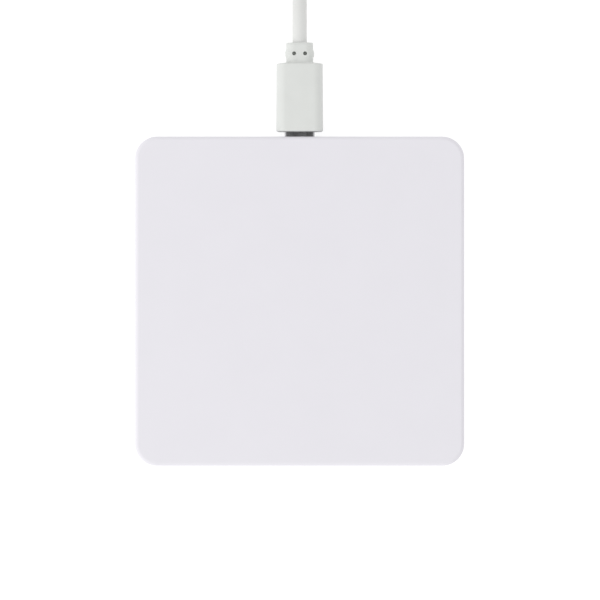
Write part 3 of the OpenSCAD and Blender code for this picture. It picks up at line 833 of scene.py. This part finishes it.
class Blocks:
    """Bevelled blocks and turned shapes in one mesh. Each takes the finish of a given number."""

    def __init__(self):
        self.work = bmesh.new()

    def add(self, part, finish):
        for face in part.faces:
            face.material_index = finish
        mesh = bpy.data.meshes.new("block")
        part.to_mesh(mesh)
        part.free()
        self.work.from_mesh(mesh)
        bpy.data.meshes.remove(mesh)

    def block(self, low, high, bevel=0, finish=0):
        part = bmesh.new()
        bmesh.ops.create_cube(part, size=1)
        for vertex in part.verts:
            vertex.co = Vector([(a + b) / 2 + c * (b - a) for a, b, c in zip(low, high, vertex.co)])
        if bevel:
            bmesh.ops.bevel(part, geom=part.edges[:], offset=bevel, segments=2, profile=0.5,
                            affect="EDGES")
        self.add(part, finish)

    def standing(self, x, y, size, lift=0, bevel=0, finish=0):
        """A block with its middle over x and y, and its underside lift above the board."""
        low = Vector((x - size[0] / 2, y - size[1] / 2, BOARD_TOP + lift))
        self.block(low, low + Vector(size), bevel, finish)

    def turned(self, x, y, profile, finish=0, steps=24):
        """A shape turned about an upright axis, from its (radius, z) profile."""
        part = bmesh.new()
        turns = [2 * math.pi * k / steps for k in range(steps)]
        rings = []
        for r, z in profile:
            ring = [(x + r * math.cos(a), y + r * math.sin(a), z) for a in turns]
            rings.append([part.verts.new(point) for point in ring])
        for low, high in zip(rings, rings[1:]):
            for k in range(steps):
                near = (k + 1) % steps
                part.faces.new((low[k], low[near], high[near], high[k]))
        part.faces.new(rings[0][::-1])
        part.faces.new(rings[-1])
        self.add(part, finish)

    def dot(self, x, y, top, radius, finish):
        """The mark of pin 1, whose top lies flush with the package's."""
        profile = [(radius, top - 2 * DOT_H), (radius, top - DOT_H / 2), (radius * 0.9, top)]
        self.turned(x, y, profile, finish)

    def piece(self, name, slot, node, sharp=20):
        for vertex in self.work.verts:
            vertex.co *= MM
        mesh = bpy.data.meshes.new(name)
        self.work.to_mesh(mesh)
        self.work.free()
        mesh.shade_smooth()
        mesh.set_sharp_from_angle(angle=math.radians(sharp))
        make_piece(name, mesh, "pad", slot, [node])


def row(node, count, width):
    """X of each of a row of equal components, from the box of their node."""
    low, high = box_of(node)
    first, last = low.x + width / 2, high.x - width / 2
    return [first + (last - first) * k / (count - 1) for k in range(count)]


def make_controller():
    """A flat chip package with eight contacts on each side."""
    low, high = box_of("controller_chip")
    blocks = Blocks()
    inset = Vector((PACKAGE_GAP, PACKAGE_GAP, 0))
    blocks.block(low + inset + Vector((0, 0, PACKAGE_GAP)), high - inset, 0.04)
    pitch = (high.x - low.x - 2 * CONTACT_EDGE) / (CONTACTS - 1)
    for k in range(CONTACTS):
        start = CONTACT_EDGE + k * pitch - CONTACT_HALF_W
        end = start + 2 * CONTACT_HALF_W
        for x0, x1, y0, y1 in (
                (low.x, low.x + CONTACT_L, low.y + start, low.y + end),
                (high.x - CONTACT_L, high.x, low.y + start, low.y + end),
                (low.x + start, low.x + end, low.y, low.y + CONTACT_L),
                (low.x + start, low.x + end, high.y - CONTACT_L, high.y)):
            blocks.block((x0, y0, low.z), (x1, y1, low.z + CONTACT_T), 0.01, 1)
    x, y = low.x + CONTROLLER_DOT[0], high.y - CONTROLLER_DOT[1]
    blocks.dot(x, y, high.z, CONTROLLER_DOT_R, 2)
    blocks.piece("controller_package", "black_epoxy", "controller_chip")


def make_mosfets():
    """Two power packages with tabs at both ends."""
    low, high = box_of("bridge_mosfets")
    y = (low.y + high.y) / 2
    half_w = high.x - MOSFET_XS[1]
    length = high.y - low.y
    blocks = Blocks()
    for x in MOSFET_XS:
        size = (2 * half_w, length - 2 * TAB_OUT, high.z - low.z - PACKAGE_GAP)
        blocks.standing(x, y, size, PACKAGE_GAP, 0.07)
        for k in range(MOSFET_TABS):
            across = x + (k - (MOSFET_TABS - 1) / 2) * half_w / 2
            blocks.standing(across, y, (TAB_W, length, TAB_T), 0, 0.03, 1)
        blocks.dot(x - half_w + MOSFET_DOT[0], high.y - MOSFET_DOT[1], high.z, MOSFET_DOT_R, 2)
    blocks.piece("bridge_packages", "black_epoxy", "bridge_mosfets")


def capped_body(blocks, x, y, size, body_finish, cap_finish):
    """Ceramic body between two tinned ends, which stand a little proud of it."""
    cap = size[1] * END_SHARE
    body = (size[0] - 2 * END_PROUD, size[1] - cap, size[2] - 2 * END_PROUD)
    blocks.standing(x, y, body, END_PROUD, 0.04, body_finish)
    for side in (-1, 1):
        end = y + side * (size[1] - cap) / 2
        blocks.standing(x, end, (size[0], cap, size[2]), 0, 0.07, cap_finish)


def make_capacitors(name, node, xs, width):
    """A row of ceramic capacitors, one at each of xs."""
    low, high = box_of(node)
    blocks = Blocks()
    for x in xs:
        capped_body(blocks, x, (low.y + high.y) / 2, (width, high.y - low.y, high.z - low.z), 0, 1)
    blocks.piece(name, "capacitor_tan", node)


def make_resistors():
    """Two rows of chip resistors: white ceramic with a dark film on top."""
    low, high = box_of("chip_resistors")
    height = high.z - low.z
    bare_l = RESISTOR_L * (1 - 2 * END_SHARE)
    film = (RESISTOR_W - 2 * FILM_INSET[0], bare_l - 2 * FILM_INSET[1], FILM_T)
    blocks = Blocks()
    for x in row("chip_resistors", 6, RESISTOR_W):
        for y in (low.y + RESISTOR_L / 2, high.y - RESISTOR_L / 2):
            capped_body(blocks, x, y, (RESISTOR_W, RESISTOR_L, height), 2, 1)
            blocks.standing(x, y, film, height - FILM_T, 0.02, 0)
    blocks.piece("resistor_chips", "black_epoxy", "chip_resistors")


def make_lamp():
    """A white lamp body with tinned ends and a clear lens."""
    low, high = box_of("status_led")
    x, y = (low.x + high.x) / 2, (low.y + high.y) / 2
    length, width = high.x - low.x, high.y - low.y
    blocks = Blocks()
    blocks.standing(x, y, (length - LAMP_END_L, width, LAMP_BASE_T), 0, 0.03, 2)
    for side in (-1, 1):
        end = x + side * (length - LAMP_END_L) / 2
        blocks.standing(end, y, (LAMP_END_L, width, LAMP_END_T), 0, 0.03, 1)
    blocks.standing(x, y, (*LENS_SIZE, high.z - low.z - LENS_LIFT), LENS_LIFT, 0.1, 0)
    blocks.piece("lamp", "led_resin", "status_led")


def make_leads():
    """The coil's two ends: one over the board, one back under the turns, each to its solder."""
    end_z = box_of("coil_leads")[0].z
    low_z = box_of("ferrite_sheet")[1].z - LEAD_R
    top_z = coil_outer_end.z
    outer = [
        tuple(coil_outer_end), (3.75, 21.12, top_z), (3.3, 21.5, top_z), (3.15, 22.2, top_z),
        (3.3, 23.2, top_z), (3.65, 24.4, top_z), (3.9, 25.4, top_z), (LEAD_X, 26.3, top_z),
    ]
    inner = [
        tuple(coil_inner_end), (-3.95, 8.92, top_z - 0.35), (-LEAD_X, 9.05, top_z - 0.7),
        (-LEAD_X, 9.45, low_z + 0.06),
    ]
    inner += [(-LEAD_X, y, low_z) for y in (10.2, 14, 18, 22, 26.3)]
    blocks = Blocks()
    for x, route, z, first_r in ((LEAD_X, outer, top_z, LITZ_R), (-LEAD_X, inner, low_z, LEAD_R)):
        for a in quarter(4)[1:]:
            y = LEAD_END_Y - LEAD_BEND * (1 - math.sin(a))
            route.append((x, y, z - LEAD_BEND * (1 - math.cos(a))))
        route.append((x, LEAD_END_Y, end_z))
        path = rounded_route(route)
        points, faces = sweep(path, litz(path, (first_r, LEAD_R)), Vector((1, 0, 0)))
        part = bmesh.new()
        corners = [part.verts.new(point) for point in points]
        for face in faces:
            part.faces.new([corners[k] for k in face])
        bmesh.ops.recalc_face_normals(part, faces=part.faces)
        blocks.add(part, 0)
        profile = [(SOLDER_R * r, BOARD_TOP + SOLDER_H * up) for r, up in SOLDER_SHAPE]
        profile.append((LEAD_R, BOARD_TOP + SOLDER_H))
        blocks.turned(x, LEAD_END_Y, profile, 1)
    blocks.piece("litz_leads", "litz_copper", "coil_leads", 80)


make_controller()
make_mosfets()
make_capacitors("resonant_chips", "resonant_capacitors",
                row("resonant_capacitors", 4, RESONANT_W), RESONANT_W)
make_capacitors("filter_chips", "filter_capacitors", FILTER_XS, FILTER_W)
make_resistors()
make_lamp()
make_leads()

# ---------- materials

# The colour sockets of a Mix node, which share their names with its other kinds of socket.
MIX_A = 6
MIX_B = 7
MIX_RESULT = 2


class Finish:
    """A material whose nodes are made one by one round its Principled shader."""

    def __init__(self, name, colour, roughness, metallic=0.0, ior=1.5, specular=0.5):
        self.material = bpy.data.materials.new(name)
        self.material.use_nodes = True
        self.tree = self.material.node_tree
        self.shader = self.tree.nodes["Principled BSDF"]
        self.set(self.shader, Base_Color=(*colour, 1), Roughness=roughness, Metallic=metallic, IOR=ior,
                 Specular_IOR_Level=specular)
        self.place = self.add("ShaderNodeTexCoord").outputs["Object"]
        self.normal = None
        self.colour = colour
        self.roughness = roughness

    def feed(self, socket, value):
        """Joins an input to a socket, or sets it to a value."""
        if isinstance(value, bpy.types.NodeSocket):
            self.tree.links.new(value, socket)
        else:
            socket.default_value = value

    def set(self, node, **inputs):
        """Feeds a node's inputs, whose names are spelt with _ for a space."""
        for name, value in inputs.items():
            self.feed(node.inputs[name.replace("_", " ")], value)

    def add(self, kind, **inputs):
        """A new node of some kind, with its inputs fed."""
        node = self.tree.nodes.new(kind)
        self.set(node, **inputs)
        return node

    def calculate(self, operation, value, number):
        """One sum on a value, with a number or another value."""
        node = self.add("ShaderNodeMath")
        node.operation = operation
        self.feed(node.inputs[0], value)
        self.feed(node.inputs[1], number)
        return node.outputs["Value"]

    def pick(self, first, second, share):
        """The first value where share is 0, and the second where it is 1."""
        return self.add("ShaderNodeMix", Factor=share, A=first, B=second).outputs["Result"]

    def noise(self, size, detail=2.0, stretch=(1, 1, 1)):
        """Noise whose lumps are about size millimetres across, longer along a stretched axis."""
        scale = [1 / (size * MM * s) for s in stretch]
        place = self.add("ShaderNodeMapping", Vector=self.place, Scale=scale).outputs["Vector"]
        return self.add("ShaderNodeTexNoise", Vector=place, Scale=1, Detail=detail).outputs["Fac"]

    def spread(self, value, low, high, from_low=0.3, from_high=0.7):
        """Carries a value from one range to another."""
        ranged = self.add("ShaderNodeMapRange", Value=value, From_Min=from_low, From_Max=from_high,
                          To_Min=low, To_Max=high)
        return ranged.outputs["Result"]

    def tint(self, value, other):
        """Mixes the colour with another one by a value from 0 to 1."""
        mixed = self.add("ShaderNodeMix", Factor=value)
        mixed.data_type = "RGBA"
        base = self.shader.inputs["Base Color"]
        self.feed(mixed.inputs[MIX_A], base.links[0].from_socket if base.is_linked else (*self.colour, 1))
        self.feed(mixed.inputs[MIX_B], (*other, 1))
        self.feed(base, mixed.outputs[MIX_RESULT])

    def vary_roughness(self, value, by):
        """Lets the roughness follow a noise, by so much up and down."""
        low, high = self.roughness - by, self.roughness + by
        self.set(self.shader, Roughness=self.spread(value, low, high))

    def bump(self, value, depth, strength=1.0):
        """Raises the surface by a value. depth is in millimetres."""
        node = self.add("ShaderNodeBump", Height=value, Strength=strength, Distance=depth * MM)
        if self.normal is not None:
            self.set(node, Normal=self.normal)
        self.normal = node.outputs["Normal"]
        self.set(self.shader, Normal=self.normal)


def darker(colour, share):
    """A colour at a share of its brightness."""
    return tuple(c * share for c in colour)


def moulded_plastic(name, colour, roughness, grain, depth, mottle=0.97, specular=0.5):
    """Injection-moulded plastic: fine spark-eroded grain and a hardly visible mottling."""
    finish = Finish(name, colour, roughness, specular=specular)
    fine = finish.noise(grain, 3)
    finish.tint(finish.spread(finish.noise(9), 0, 1), darker(colour, mottle))
    finish.vary_roughness(fine, 0.06)
    finish.bump(fine, depth)
    finish.bump(finish.noise(2.5), depth * 1.5, 0.5)
    return finish.material


def soft_plastic(name, colour, roughness, specular=0.5):
    """Soft satin TPE: a smooth skin with a faint ripple and dust-fine pores."""
    finish = Finish(name, colour, roughness, specular=specular)
    finish.tint(finish.spread(finish.noise(4, 3), 0, 1), darker(colour, 0.97))
    finish.vary_roughness(finish.noise(0.8, 3), 0.07)
    finish.bump(finish.noise(0.12, 3), 0.006)
    finish.bump(finish.noise(1.4), 0.02, 0.6)
    return finish.material


def stamped_metal(name, colour, roughness, streak=(1, 9, 1)):
    """Plated sheet metal with the fine rolling lines of the sheet and a faint dullness in places."""
    finish = Finish(name, colour, roughness, metallic=1.0)
    lines = finish.noise(0.06, 4, streak)
    patches = finish.noise(2.5)
    finish.tint(finish.spread(lines, 0, 1), darker(colour, 0.86))
    finish.tint(finish.spread(patches, 0, 1), darker(colour, 0.95))
    finish.vary_roughness(patches, 0.04)
    finish.bump(lines, 0.005)
    return finish.material


def rough_solid(name, colour, roughness, grain, depth, other, metallic=0.0):
    """A plain solid with speckles of a second colour and a rough skin."""
    finish = Finish(name, colour, roughness, metallic)
    speckles = finish.noise(grain, 4)
    finish.tint(finish.spread(speckles, 0, 1, 0.45, 0.65), other)
    finish.vary_roughness(finish.noise(grain * 3), 0.06)
    finish.bump(speckles, depth)
    return finish.material


RUN_CELL = 6
RUN_PITCH = 0.4
RUN_EDGE = (0.17, 0.21)


def solder_mask(name, colour, other):
    """Circuit board: cells of copper runs along X or along Y that show through a glossy mask, and
    some bare cells between them."""
    finish = Finish(name, colour, 0.32)
    cells = finish.add("ShaderNodeTexVoronoi", Vector=finish.place, Scale=1 / (RUN_CELL * MM))
    cells.distance = "CHEBYCHEV"
    chance = finish.add("ShaderNodeSeparateColor", Color=cells.outputs["Color"]).outputs
    axes = finish.add("ShaderNodeSeparateXYZ", Vector=finish.place).outputs
    turned = finish.calculate("GREATER_THAN", chance["Red"], 0.5)
    across = finish.pick(axes["X"], axes["Y"], turned)
    from_run = finish.calculate("PINGPONG", across, RUN_PITCH * MM)
    runs = finish.spread(from_run, 0, 1, *(edge * MM for edge in RUN_EDGE))
    shown = finish.calculate("GREATER_THAN", chance["Green"], 0.3)
    copper = finish.calculate("MULTIPLY", runs, shown)
    finish.tint(copper, other)
    finish.bump(copper, 0.02)
    finish.vary_roughness(finish.noise(0.5), 0.05)
    return finish.material


def clear_plastic(name, colour):
    """Milky polycarbonate that the lamp shines through, with a satin, slightly rippled skin."""
    finish = Finish(name, colour, 0.3, ior=1.58)
    finish.set(finish.shader, Transmission_Weight=0.45)
    finish.tint(finish.spread(finish.noise(0.9), 0, 1), darker(colour, 0.94))
    finish.vary_roughness(finish.noise(0.6), 0.06)
    finish.bump(finish.noise(0.8), 0.01)
    return finish.material


CASE_WHITE = (0.767, 0.754, 0.797)
SOFT_WHITE = (0.697, 0.712, 0.692)
FINISHES = {
    "case_plastic": moulded_plastic("case_abs", CASE_WHITE, 0.6, 0.16, 0.006, 0.99, specular=0.2),
    "foot_rubber": rough_solid("foot_rubber", (0.62, 0.62, 0.60), 0.82, 0.25, 0.02, (0.56, 0.56, 0.54)),
    "zinc_steel": stamped_metal("zinc_plating", (0.62, 0.63, 0.66), 0.32, (1, 1, 3)),
    "adhesive_film": soft_plastic("adhesive_film", (0.78, 0.70, 0.48), 0.5),
    "litz_copper": rough_solid("enamelled_copper", (0.72, 0.33, 0.15), 0.3, 0.2, 0.01,
                               (0.6, 0.25, 0.1), metallic=1.0),
    "ferrite": rough_solid("sintered_ferrite", (0.055, 0.055, 0.06), 0.55, 0.1, 0.01, (0.1, 0.1, 0.105)),
    "black_epoxy": rough_solid("moulded_epoxy", (0.02, 0.02, 0.022), 0.5, 0.07, 0.006,
                               (0.035, 0.035, 0.037)),
    "board_green": solder_mask("solder_mask", (0.012, 0.11, 0.05), (0.05, 0.2, 0.08)),
    "capacitor_tan": rough_solid("fired_ceramic", (0.36, 0.23, 0.12), 0.45, 0.12, 0.006,
                                 (0.42, 0.28, 0.16)),
    "led_resin": soft_plastic("lamp_resin", (0.85, 0.82, 0.55), 0.25),
    "clear_plastic": clear_plastic("clear_polycarbonate", (0.9, 0.94, 0.96)),
    "socket_steel": stamped_metal("socket_plating", (0.55, 0.55, 0.57), 0.3),
    "black_plastic": moulded_plastic("black_lcp", (0.015, 0.015, 0.017), 0.45, 0.1, 0.004),
    "gold_contact": stamped_metal("gold_flash", (0.85, 0.62, 0.25), 0.22),
    "plug_steel": stamped_metal("nickel_plating", (0.5, 0.5, 0.51), 0.2),
    "inner_mould": moulded_plastic("hard_core", (0.7, 0.7, 0.65), 0.5, 0.2, 0.01),
    "grip_plastic": soft_plastic("grip_tpe", SOFT_WHITE, 0.46, specular=0.2),
    "cord_jacket": soft_plastic("cord_tpe", (0.72, 0.725, 0.71), 0.42, specular=0.2),
    "tie_plastic": soft_plastic("tie_pvc", (0.8, 0.8, 0.8), 0.35),
    "white_plastic": moulded_plastic("white_lcp", (0.8, 0.8, 0.78), 0.4, 0.12, 0.004),
}
TINNED = stamped_metal("tinned_end", (0.76, 0.76, 0.74), 0.34)
ALUMINA = rough_solid("alumina", (0.78, 0.78, 0.76), 0.5, 0.06, 0.003, (0.7, 0.7, 0.69))
PIN_MARK = soft_plastic("pin_mark", (0.22, 0.22, 0.23), 0.35)
MORE_FINISHES = {
    "controller_package": [TINNED, PIN_MARK],
    "bridge_packages": [TINNED, PIN_MARK],
    "resonant_chips": [TINNED],
    "filter_chips": [TINNED],
    "resistor_chips": [TINNED, ALUMINA],
    "lamp": [TINNED, ALUMINA],
    "litz_leads": [TINNED],
}


def dress(piece, slot):
    """Gives a piece its slot's finish, and the others that the numbers on its faces stand for."""
    if piece.data.materials:
        piece.data.materials.clear()
    for material in [FINISHES[slot]] + MORE_FINISHES.get(piece.name, []):
        piece.data.materials.append(material)


for subpart in frame["record"]["subparts"]:
    dress(nodes[subpart["node"]], subpart["material_slot"])
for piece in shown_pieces():
    if "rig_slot" in piece:
        dress(piece, piece["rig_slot"])

# ---------- studio

# Sizes and places here are in metres. The tent's slope says how fast its light grows along each
# axis, and the floor lies just under the feet.
TENT_LEVEL = 1.045
TENT_SLOPE = (-0.12, -0.06, -0.18)
KEY_PLACE = (-0.53, -0.2, 0.46)
KEY_SIZE = 0.45
KEY_POWER = 1.2
FLAG_R = 0.2
FLAG_PLACE = (0, 0, 1.1)
FLOOR_HALF = 4
FLOOR_Z = -0.00003
FLOOR_GREY = 0.36
FLOOR_GLOW = 0.75


def make_floor():
    """A white light table, bright enough to leave hardly any shadow. It shows from above only."""
    mesh = bpy.data.meshes.new("floor")
    corners = [(x, y, FLOOR_Z) for x, y in rectangle(FLOOR_HALF, FLOOR_HALF)]
    mesh.from_pydata(corners, [], [(0, 1, 2, 3)])
    finish = Finish("light_table", (FLOOR_GREY,) * 3, 0.9, specular=0)
    finish.set(finish.shader, Emission_Color=(1, 1, 1, 1), Emission_Strength=FLOOR_GLOW)
    below = finish.add("ShaderNodeNewGeometry").outputs["Backfacing"]
    either = finish.add("ShaderNodeMixShader", Fac=below)
    finish.feed(either.inputs[1], finish.shader.outputs["BSDF"])
    finish.feed(either.inputs[2], finish.add("ShaderNodeBsdfTransparent").outputs["BSDF"])
    finish.set(finish.tree.nodes["Material Output"], Surface=either.outputs["Shader"])
    finish.material.cycles.emission_sampling = "NONE"
    mesh.materials.append(finish.material)
    add_object("floor", mesh)


def make_world():
    """A white tent: darkest straight above, and brighter on the key light's side."""
    world = bpy.data.worlds.new("studio")
    world.use_nodes = True
    tree = world.node_tree
    direction = tree.nodes.new("ShaderNodeTexCoord").outputs["Generated"]
    rise = tree.nodes.new("ShaderNodeVectorMath")
    rise.operation = "DOT_PRODUCT"
    rise.inputs[1].default_value = TENT_SLOPE
    tree.links.new(direction, rise.inputs[0])
    level = tree.nodes.new("ShaderNodeMath")
    level.inputs[1].default_value = TENT_LEVEL
    tree.links.new(rise.outputs["Value"], level.inputs[0])
    background = tree.nodes["Background"]
    background.inputs["Color"].default_value = (1, 1, 1, 1)
    tree.links.new(level.outputs["Value"], background.inputs["Strength"])
    bpy.context.scene.world = world


def make_softbox(name, place, size, power):
    """A square area light that points at the pad."""
    data = bpy.data.lights.new(name, "AREA")
    data.shape = "SQUARE"
    data.size = size
    data.energy = power
    light = add_object(name, data)
    light.location = place
    light.rotation_euler = (-Vector(place)).to_track_quat("-Z", "Y").to_euler()


def make_flag():
    """A dark card above the camera, which shows in reflections only."""
    mesh = bpy.data.meshes.new("flag")
    work = bmesh.new()
    bmesh.ops.create_circle(work, cap_ends=True, segments=48, radius=FLAG_R)
    work.to_mesh(mesh)
    work.free()
    mesh.materials.append(Finish("black_card", (0.01,) * 3, 0.5).material)
    flag = add_object("flag", mesh)
    flag.location = FLAG_PLACE
    flag.visible_camera = False
    flag.visible_diffuse = False
    flag.visible_shadow = False


make_floor()
make_world()
make_flag()
make_softbox("key_softbox", KEY_PLACE, KEY_SIZE, KEY_POWER)

bpy.context.scene.view_settings.view_transform = "Standard"
